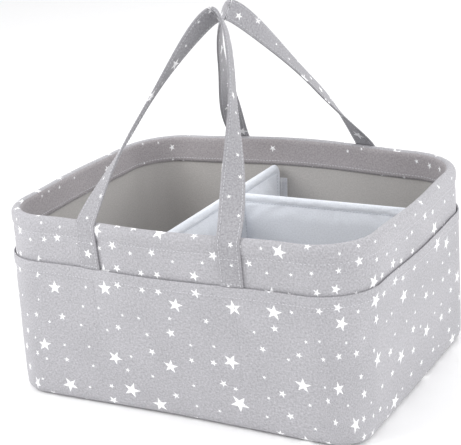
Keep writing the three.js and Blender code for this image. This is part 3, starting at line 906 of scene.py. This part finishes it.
def half_strap(turn_at):
    """Stations of one half of the front strap, from its sewn end to the peak, as if it were the right."""
    made = []
    middle = SEAT + STRAP_THICK / 2

    def up_the_wall(x):
        return x, -long_face(x, z, -middle), z

    def round_the_rim(x):
        rim_z = crest_z * crown_ratio(x)
        radius = CREST + middle
        return x, -long_face(x, rim_z, CREST) - radius * math.cos(bend), rim_z + radius * math.sin(bend)

    for z in rows_between(STITCHED_FROM, crest_z, STRAP_STEP)[:-1]:
        made.append(station_on_wall(up_the_wall, 0))
    for bend in np.linspace(0, ARCH_LEAN, RIM_STEPS + 1):
        made.append(station_on_wall(round_the_rim, bend))
    foot, across, wall_out = made[-1]
    up_arch = Vector((0, math.sin(ARCH_LEAN), math.cos(ARCH_LEAN)))
    plane_out = Vector((0, -math.cos(ARCH_LEAN), math.sin(ARCH_LEAN)))
    start_twist = math.atan(wall_out.x / wall_out.dot(plane_out))

    def in_plane(x, v):
        return Vector((x, foot.y, foot.z)) + up_arch * v

    pulls = [foot, in_plane(STRAP_CENTRE - ARCH_LEG_DRAW, ARCH_LEG_PULL), in_plane(ARCH_TOP_PULL, ARCH_RISE),
             in_plane(0, ARCH_RISE)]
    for share in (i / ARCH_STEPS for i in range(1, ARCH_STEPS + 1)):
        at, along = bezier(pulls, share)
        twist = lerp(start_twist, PEAK_TWIST, turn_at(share))
        edge = along.cross(plane_out)
        normal = plane_out * math.cos(twist) + edge * math.sin(twist)
        made.append((at, along.cross(normal).normalized(), normal))
    return made


def whole_strap(turned_back):
    """Stations from the left sewn end, over the peak, to the right one."""
    flip = Vector((-1, 1, 1))
    left = [(at * flip, -(across * flip), normal * flip) for at, across, normal in half_strap(held_turn)[:-1]]
    path = left + half_strap(steady_turn)[::-1]
    if turned_back:
        path = [tuple(Vector((-v.x, -v.y, v.z)) for v in station) for station in path]
    return path


# %% [markdown]
# The strap is canvas folded in from both sides and over, so its two layers meet in a fine crease along each
# edge. Its section is a flat lozenge: full in the middle, drawn in where the edge stitching runs, round at
# its edges and creased there. Repeating that at every station makes the strip.

# %% Straps
EDGE_STITCH_IN = 2.6 * MM
EDGE_STITCH_OUT_SHARE = 0.86
ROW_STITCH_OUT_SHARE = 1.1
CHANNEL_WIDTH = 1.1 * MM
CHANNEL_SHARE = 0.36
FULL_SHARE = 1.12
EDGE_SQUARENESS = 14
CREASE_DEPTH = 0.6 * MM
CREASE_HALF = 0.3 * MM
STRAP_STEPS = 14


def strap_section():
    """Places across and out for one round of the strap's section."""
    half = STRAP_WIDTH / 2
    face = [(-half, CREASE_HALF)]
    for i in range(1, STRAP_STEPS):
        share = -math.cos(math.pi * i / STRAP_STEPS)
        rim = math.sqrt(1 - abs(share) ** EDGE_SQUARENESS)
        from_stitch = (half - abs(half * share) - EDGE_STITCH_IN) / CHANNEL_WIDTH
        pull = CHANNEL_SHARE * math.exp(-from_stitch ** 2)
        face.append((half * share, STRAP_THICK / 2 * rim * (FULL_SHARE - pull)))
    face.append((half, CREASE_HALF))
    crease = half - CREASE_DEPTH
    return [(-crease, 0)] + face + [(crease, 0)] + [(across, -out) for across, out in reversed(face)]


SWAY = 0.5 * MM
SWAY_WAVES = 18
SWAY_FROM = HEIGHT + 12 * MM
SWAY_FULL = SWAY_FROM + 20 * MM


def sway(at):
    """How far a strap wanders off its path there. Only its free part, over the rim, does."""
    return SWAY * noise.noise(at * SWAY_WAVES) * float(smooth(at.z, SWAY_FROM, SWAY_FULL))


def strap_piece(name, path):
    """The strap's section repeated at every station of its path."""
    section = strap_section()
    points = []
    for at, across, normal in path:
        centre = at + normal * sway(at)
        points.append([centre + across * a + normal * o for a, o in section])
    along = lengths_along([station[0] for station in path])
    cloth = np.stack(np.meshgrid(lengths_along(section, closed=True), along), -1)
    return grid_mesh(name, np.array(points), cloth, STRAP_CANVAS, cap_rows=True)


def strap_stitch_lines(path):
    """Stitching along both edges, on both broad sides, and a row across the ends of each sewn end."""
    lines = []
    inside = STRAP_WIDTH / 2 - EDGE_STITCH_IN
    surface = STRAP_THICK / 2 * EDGE_STITCH_OUT_SHARE
    sewn = sum(1 for at, across, normal in path if at.z < STITCHED_TOP) // 2
    hidden = sewn + RIM_STEPS
    for hand in (-1, 1):
        for face in (-1, 1):
            stretch = path if face == 1 else path[hidden:-hidden]
            points = []
            for at, across, normal in stretch:
                points.append(at + across * hand * inside + normal * (face * surface + sway(at)))
            lines.append((points, [normal * face for at, across, normal in stretch]))
    for station in (1, sewn, -2, -sewn - 1):
        at, across, normal = path[station]
        middle = at + normal * STRAP_THICK / 2 * ROW_STITCH_OUT_SHARE
        lines.append(([middle + across * side for side in (-inside, 0, inside)], [normal] * 3))
    return lines


for side, turned_back in (("front", False), ("back", True)):
    path = whole_strap(turned_back)
    strap = strap_piece(f"{side}_handle_strap_canvas", path)
    stitching = stitch_seam(f"{side}_handle_stitching", strap_stitch_lines(path), GREY_THREAD)
    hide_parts(f"{side}_handle_strap", f"{side}_left_strap_end", f"{side}_right_strap_end")
    for piece in (strap, stitching):
        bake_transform(piece)
    print(side, "strap length", round(lengths_along([station[0] for station in path])[-1] / MM), "mm")

# %% [markdown]
# The dividers are padded panels: a cotton cover over foam, sewn through near its edges. The seam holds the
# cover down and it swells on both sides. A cloth simulation makes that: the panel starts thinner than it
# ends, its sewn points are pinned, and pressure inside does the rest, with a cap on how far a point may
# move.

# %% Divider sizes
DIVIDER_THICK = 11 * MM
DIVIDER_TOP = HEIGHT - 22 * MM
DIVIDER_CORNER = 10 * MM
CROSS_X = -26 * MM
LONG_Y = 38 * MM
TAPE = 1 * MM
LOOP_NEAR = LINING_INNER + SEAT
LOOP_FACE = LOOP_NEAR + TAPE
HOOK_FACE = LOOP_FACE + SEAT
HOOK_FAR = HOOK_FACE + TAPE
PANEL_END = HOOK_FAR + SEAT
PAD_FROM = FLOOR_TOP + FLOOR_CROWN + SEAT
HINGE_GAP = 2.6 * MM
HINGE_X = CROSS_X + DIVIDER_THICK / 2 + HINGE_GAP
PAD_CELL = 4 * MM
EDGE_STEPS = [step * MM for step in (0, 0.5, 1.5, 3, 5, 6.6, 8, 9.4, 11.5)]
PAD_SEAM_IN = 8 * MM
PAD_CORNER_STEPS = 4
PAD_SEAM_DEPTH = 1.1 * MM
PAD_SEAM_HALF = 1.1 * MM
PAD_THREAD_OUT = 0.3 * MM
PAD_EDGE_ROUND = 4.2 * MM
SEWN_SHARE = 0.72
MOST_SWELL = 1.8 * MM


def steps_across(size):
    """Shares of a length, close together near both ends and even between."""
    last = EDGE_STEPS[-1]
    middle = rows_between(last, size - last, PAD_CELL)[1:-1]
    return np.array(EDGE_STEPS + middle + [size - step for step in reversed(EDGE_STEPS)]) / size


def edge_distance(x, z, start, end):
    """How far a place on a panel is from its outline, with round top corners. Outside it is negative."""
    from_end = min(x - start, end - x)
    from_top = DIVIDER_TOP - z
    nearest = min(from_end, from_top, z - PAD_FROM)
    if from_end < DIVIDER_CORNER and from_top < DIVIDER_CORNER:
        cut = DIVIDER_CORNER - math.hypot(DIVIDER_CORNER - from_end, DIVIDER_CORNER - from_top)
        return min(nearest, cut)
    return nearest


def onto_corner(x, z, start, end):
    """Draws a place that lies outside a round top corner back onto the corner."""
    if edge_distance(x, z, start, end) >= 0:
        return x, z
    centre_x = start + DIVIDER_CORNER if x - start < end - x else end - DIVIDER_CORNER
    centre_z = DIVIDER_TOP - DIVIDER_CORNER
    pull = DIVIDER_CORNER / math.hypot(x - centre_x, z - centre_z)
    return centre_x + (x - centre_x) * pull, centre_z + (z - centre_z) * pull


def pad_half(edge):
    """Half the thickness of a panel at a distance from its outline."""
    edge = max(edge, 0)
    rounded = math.sqrt(max(0.0, 1 - (1 - min(edge / PAD_EDGE_ROUND, 1)) ** 2))
    swollen = 0
    dip = PAD_SEAM_DEPTH * math.exp(-((edge - PAD_SEAM_IN) / PAD_SEAM_HALF) ** 2)
    return DIVIDER_THICK / 2 * rounded * lerp(SEWN_SHARE, 1, swollen) - dip


# %% [markdown]
# The simulation is Blender's own cloth, run for a few frames and then written back as plain points. Its sewn
# points are a vertex group. Gravity is off, because a panel is stiff enough to carry itself.

# %% Swelling by simulation
FRAMES = 20
PIN_REACH = 1 * MM
QUALITY_STEPS = 6
FILLING_PRESSURE = 4
SPARE_CLOTH_SHARE = 0.01


def swell(made, sewn, flat_axis, middle):
    """Fills a closed cloth by simulation. Sewn points stay, and the others move only across the panel."""
    start = np.array([vertex.co for vertex in made.data.vertices])
    made.vertex_groups.new(name="sewn").add(sewn, 1.0, "REPLACE")
    filling = made.modifiers.new("filling", "CLOTH")
    filling.settings.quality = QUALITY_STEPS
    filling.settings.use_pressure = True
    filling.settings.uniform_pressure_force = FILLING_PRESSURE
    filling.settings.vertex_group_mass = "sewn"
    filling.settings.shrink_min = -SPARE_CLOTH_SHARE
    filling.settings.effector_weights.gravity = 0
    filling.point_cache.frame_start = 1
    filling.point_cache.frame_end = FRAMES
    for number in range(1, FRAMES + 1):
        bpy.context.scene.frame_set(number)
    filled = made.evaluated_get(bpy.context.evaluated_depsgraph_get())
    moved = np.array([vertex.co for vertex in filled.data.vertices])[:, flat_axis] - start[:, flat_axis]
    made.modifiers.clear()
    bpy.context.scene.frame_set(1)
    end = start.copy()
    end[:, flat_axis] += np.clip(moved, -MOST_SWELL, MOST_SWELL)
    half = DIVIDER_THICK / 2
    end[:, flat_axis] = np.clip(end[:, flat_axis], middle - half, middle + half)
    made.data.vertices.foreach_set("co", end.ravel())
    print(made.name, "swelled by up to", round(float(np.abs(end - start).max()) / MM, 2), "mm")


# %% [markdown]
# A panel is a grid over each broad side, joined round the outline. The grid is finer near the edges, where
# the cover turns. After the swelling one subdivision smooths it, and the seam gets its stitches.

# %% Divider panels
def divider_pad(name, left, right, place, flat_axis, middle):
    """A padded panel between two ends that follow the walls. place turns (along, out, z) to a point."""
    width = right(DIVIDER_TOP) - left(DIVIDER_TOP)
    height = DIVIDER_TOP - PAD_FROM
    u_shares = steps_across(width)
    v_shares = steps_across(height)
    sides = {-1: [], 1: []}
    for z_row in lerp(PAD_FROM, DIVIDER_TOP, v_shares):
        start, end = left(z_row), right(z_row)
        row = [onto_corner(x, z_row, start, end) for x in lerp(start, end, u_shares)]
        for face, rows in sides.items():
            rows.append([place(x, face * pad_half(edge_distance(x, z, start, end)), z) for x, z in row])
    points = np.concatenate([np.array(sides[-1]), np.array(sides[1])[:, -2:0:-1]], 1)
    u_all = np.concatenate([u_shares, 1 + u_shares[1:]]) * width
    cloth = np.stack(np.meshgrid(u_all, v_shares * height), -1)
    made = grid_mesh(name, points, cloth, DIVIDER_COTTON)
    made.modifiers.new("sew_edges", "WELD").merge_threshold = WELD_REACH
    apply_modifiers(made)
    sewn = []
    for vertex in made.data.vertices:
        along = vertex.co[1 - flat_axis] - (HINGE_X if flat_axis else 0)
        edge = edge_distance(along, vertex.co.z, left(vertex.co.z), right(vertex.co.z))
        if min(edge, abs(edge - PAD_SEAM_IN)) < PIN_REACH:
            sewn.append(vertex.index)
    swell(made, sewn, flat_axis, middle)
    made.modifiers.new("smooth", "SUBSURF").levels = 1
    apply_modifiers(made)
    made.data.shade_smooth()
    return made


def pad_seam(left, right, place):
    """The line of the seam on both broad sides of a panel."""
    round_in = DIVIDER_CORNER - PAD_SEAM_IN
    corner_z = DIVIDER_TOP - DIVIDER_CORNER
    heights = rows_between(PAD_FROM + PAD_SEAM_IN, corner_z, WIDE_STEP)
    turns = [math.pi / 2 * i / PAD_CORNER_STEPS for i in range(PAD_CORNER_STEPS + 1)]
    route = [(left(z) + PAD_SEAM_IN, z) for z in heights]
    for hand, centre in ((-1, left(corner_z) + DIVIDER_CORNER), (1, right(corner_z) - DIVIDER_CORNER)):
        arc = [(centre + hand * round_in * math.cos(t), corner_z + round_in * math.sin(t)) for t in turns]
        route += arc if hand < 0 else arc[::-1]
    route += [(right(z) - PAD_SEAM_IN, z) for z in reversed(heights)]
    route.append(route[0])
    lines = []
    for face in (-1, 1):
        out = face * (DIVIDER_THICK / 2 * SEWN_SHARE - PAD_SEAM_DEPTH + PAD_THREAD_OUT)
        normal = Vector(place(0, face, 0)) - Vector(place(0, 0, 0))
        lines.append(([place(x, out, z) for x, z in route], [normal] * len(route)))
    return lines


panels = {
    "cross": {
        "left": lambda z: -long_face(CROSS_X, z, PANEL_END),
        "right": lambda z: long_face(CROSS_X, z, PANEL_END),
        "place": lambda along, out, z: (CROSS_X + out, along, z),
    },
    "long": {
        "left": lambda z: 0.0,
        "right": lambda z: short_face(LONG_Y, z, PANEL_END) - HINGE_X,
        "place": lambda along, out, z: (HINGE_X + along, LONG_Y + out, z),
    },
}
# Each panel's body, the axis across the panel, and the panel's place on it
panel_planes = {"cross": ("divider_insert", 0, CROSS_X), "long": ("long_divider", 1, LONG_Y)}
for name, (body, flat_axis, middle) in panel_planes.items():
    pad = divider_pad(f"{name}_divider_pad", flat_axis=flat_axis, middle=middle, **panels[name])
    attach(pad, body)
    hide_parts(f"{name}_divider_cover", f"{name}_divider_board", f"{name}_divider_binding")
    seam = stitch_seam(f"{name}_divider_stitching", pad_seam(**panels[name]), PALE_THREAD)
    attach(seam, body)

# %% [markdown]
# Touch fastener holds the insert in place: a wide strip of loops is sewn to the lining, and a narrow strip of
# hooks to each panel end. The long panel hangs on a strip of cloth sewn into both panels.

# %% Tapes
TAPE_FROM = 30 * MM
TAPE_TO = DIVIDER_TOP - 17 * MM
TAPE_HEIGHTS = rows_between(TAPE_FROM, TAPE_TO, FLAT_STEP)
LOOP_TAPE_WIDTH = 20 * MM
HOOK_TAPE_WIDTH = 9 * MM
# Half a round of a tape's section, as shares of its half width and of its depth
TAPE_HALF_ROUND_SHARES = [
    (-0.97, 0), (-0.6, 0), (-0.2, 0), (0.2, 0), (0.6, 0), (0.97, 0), (1, 0.3), (1, 0.7),
]
TAPE_STITCH_IN = 1.8 * MM


def tape_piece(name, half, place, near, far, material):
    """An upright strip between two insets from the wall. place turns (across, z, inset) to a point."""
    shares = TAPE_HALF_ROUND_SHARES + [(-share, 1 - depth) for share, depth in TAPE_HALF_ROUND_SHARES]
    section = [(share * half, lerp(near, far, depth)) for share, depth in shares]
    points = np.array([[place(across, z, inset) for across, inset in section] for z in TAPE_HEIGHTS])
    around = [across for across, inset in section + section[:1]]
    cloth = np.stack(np.meshgrid(around, TAPE_HEIGHTS), -1)
    return grid_mesh(name, points, cloth, material, cap_rows=True)


def tape_seam(half, place, far, inward):
    """Stitching up both sides of a strip, on its face."""
    lines = []
    for across in (TAPE_STITCH_IN - half, half - TAPE_STITCH_IN):
        lines.append(([place(across, z, far) for z in TAPE_HEIGHTS], [inward] * len(TAPE_HEIGHTS)))
    return lines


# Each end of a panel: its wall's face and middle, how (across, out) lies in the plan, and the panel's body
tape_places = {
    "front": (long_face, CROSS_X, lambda across, out: (across, -out), (0, 1, 0), "divider_insert"),
    "back": (long_face, CROSS_X, lambda across, out: (across, out), (0, -1, 0), "divider_insert"),
    "right": (short_face, LONG_Y, lambda across, out: (out, across), (-1, 0, 0), "long_divider"),
}
for side, (face, middle, in_plan, inward, body) in tape_places.items():

    def on_wall(across, z, inset):
        return (*in_plan(middle + across, face(middle + across, z, inset)), z)

    def on_panel(across, z, inset):
        return (*in_plan(middle + across, face(middle, z, inset)), z)

    half = LOOP_TAPE_WIDTH / 2
    loop = tape_piece(f"{side}_loop_pile", half, on_wall, LOOP_NEAR, LOOP_FACE, TOUCH_TAPE)
    loop_lines = tape_seam(half, on_wall, LOOP_FACE, inward)
    loop_seam = stitch_seam(f"{side}_loop_stitching", loop_lines, PALE_THREAD)
    hook = tape_piece(f"{side}_hook_pile", HOOK_TAPE_WIDTH / 2, on_panel, HOOK_FACE, HOOK_FAR, HOOK_TAPE)
    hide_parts(f"{side}_loop_tape")
    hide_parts(f"{side}_hook_tape")
    for piece, rider in ((loop, "caddy"), (loop_seam, "caddy"), (hook, body)):
        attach(piece, rider)

# %% Strip at the fold
HINGE_IN_CROSS = 0.8 * MM
HINGE_IN_LONG = 1.6 * MM
HINGE_THICK = 1.2 * MM
HINGE_POINTS = 7
HINGE_FROM = CROSS_X + DIVIDER_THICK / 2 - HINGE_IN_CROSS
HINGE_TO = HINGE_X + HINGE_IN_LONG
hinge_along = np.linspace(HINGE_FROM, HINGE_TO, HINGE_POINTS).tolist()
hinge_round = hinge_along + hinge_along[::-1]
hinge_sides = np.repeat([LONG_Y - HINGE_THICK / 2, LONG_Y + HINGE_THICK / 2], HINGE_POINTS)
hinge_points = np.array([[(x, y, z) for x, y in zip(hinge_round, hinge_sides)] for z in TAPE_HEIGHTS])
hinge_cloth = np.stack(np.meshgrid(hinge_round + hinge_along[:1], TAPE_HEIGHTS), -1)
hinge_strip = grid_mesh("divider_hinge_strip", hinge_points, hinge_cloth, DIVIDER_COTTON, cap_rows=True)
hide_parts("divider_hinge_tape")
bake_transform(hinge_strip)
